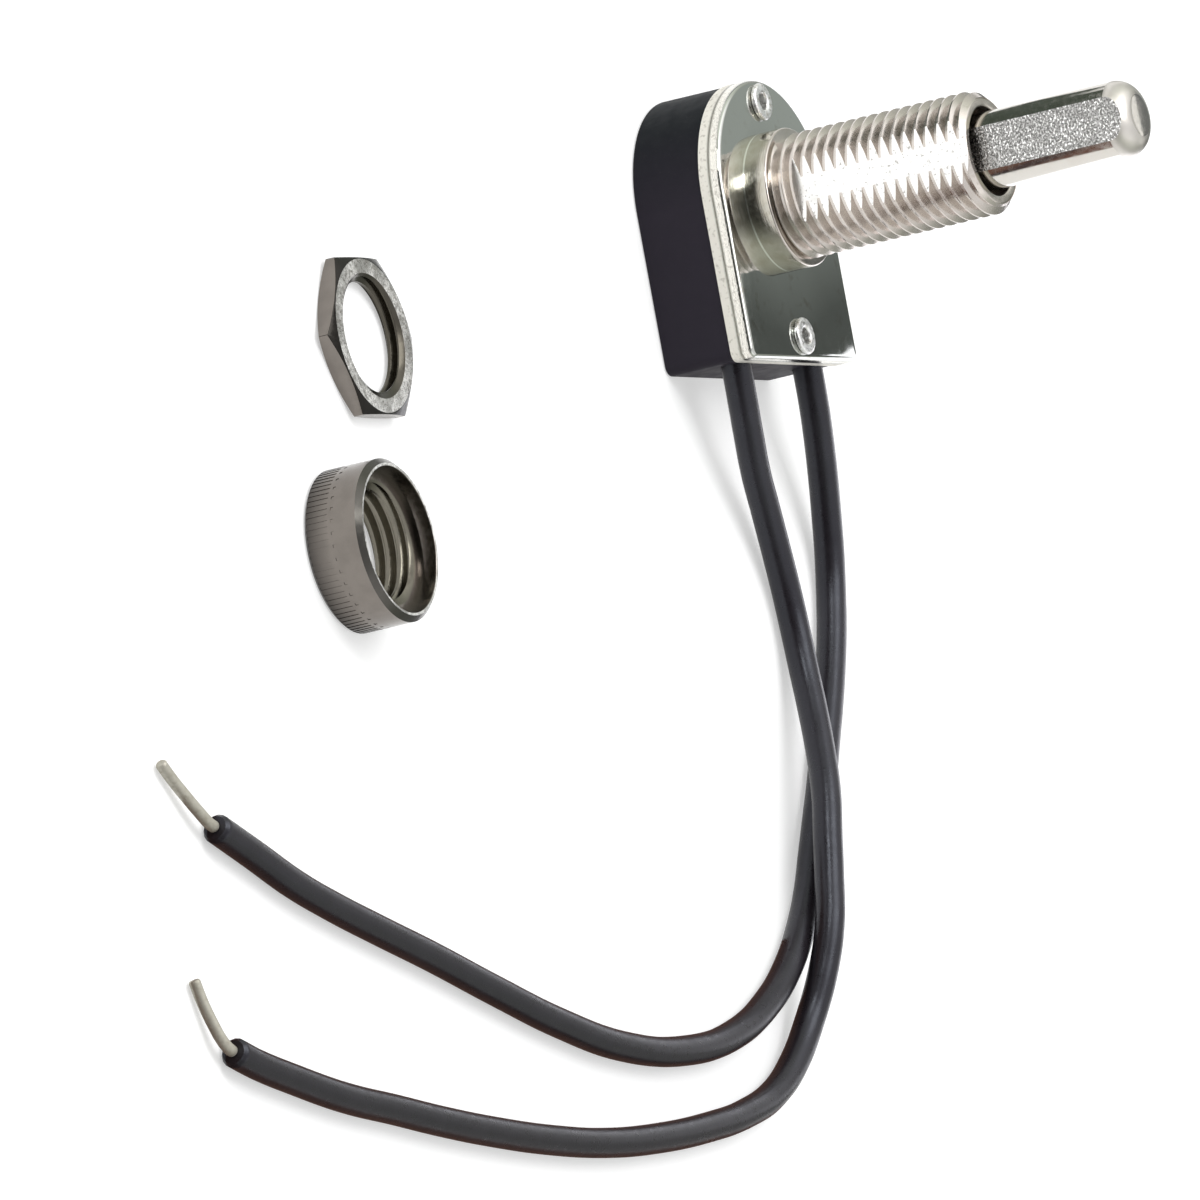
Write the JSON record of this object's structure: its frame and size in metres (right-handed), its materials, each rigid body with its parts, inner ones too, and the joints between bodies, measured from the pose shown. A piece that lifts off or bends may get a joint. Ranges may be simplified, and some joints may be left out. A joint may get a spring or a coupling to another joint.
{
  "type": "pushbutton switch",
  "caption": "Push-on push-off panel switch: moulded housing, metal plate, threaded bushing, long round-ended plunger, wire leads and loose mounting nuts.",
  "frame": {"origin": "on the bushing axis at the flat back of the housing, which the switch stands on", "axes": "+Z along the bushing and plunger, out of the panel; +Y towards the round end of the plate; the leads leave towards -Y"},
  "size_m": [0.1234, 0.0855, 0.0404],
  "materials": {
    "housing_plastic": "satin moulded thermoset",
    "plate_nickel": "polished nickel plating",
    "bushing_nickel": "nickel-plated turned brass",
    "plunger_nickel": "nickel-plated brass, finely scratched",
    "rivet_nickel": "nickel-plated tubular rivet",
    "nut_nickel": "nickel-plated brass",
    "retainer_brass": "plain stamped brass",
    "terminal_brass": "bright stamped brass",
    "bridge_copper": "bright copper",
    "spring_steel": "plain spring wire",
    "washer_steel": "plain spring sheet",
    "ratchet_nylon": "natural nylon",
    "fibre_board": "vulcanised fibre",
    "lead_vinyl": "satin vinyl insulation",
    "strand_tin": "tinned twisted strands"
  },
  "bodies": {
    "switch_body": {"housing": "housing_plastic", "front_plate": "plate_nickel", "bushing": "bushing_nickel", "spring_retainer": "retainer_brass", "insulator": "fibre_board", "return_spring": "spring_steel", "left_terminal": "terminal_brass", "right_terminal": "terminal_brass", "top_rivet": "rivet_nickel", "bottom_rivet": "rivet_nickel", "left_lead": "lead_vinyl", "right_lead": "lead_vinyl", "left_strand": "strand_tin", "right_strand": "strand_tin", "hex_nut": "nut_nickel", "round_nut": "nut_nickel"},
    "button": {"plunger": "plunger_nickel", "drive_crown": "ratchet_nylon"},
    "contact_rotor": {"contact_wheel": "ratchet_nylon", "wave_washer": "washer_steel", "contact_bridge": "bridge_copper"}
  },
  "joints": [
    {"name": "plunger_press", "type": "slide", "parent": "switch_body", "child": "button", "axis": [0, 0, -1], "range_m": [0, 0.0024], "stiffness_N_per_m": 500, "springref_m": -0.006, "deforming": ["return_spring"]},
    {"name": "wheel_turn", "type": "hinge", "parent": "switch_body", "child": "contact_rotor", "pos_m": [0, 0, 0.0036], "axis": [0, 0, 1], "range_deg": [0, 60.5]}
  ],
  "couplings": [
    {"joint": "wheel_turn", "follows": "plunger_press", "rad_per_m": 436.33}
  ]
}
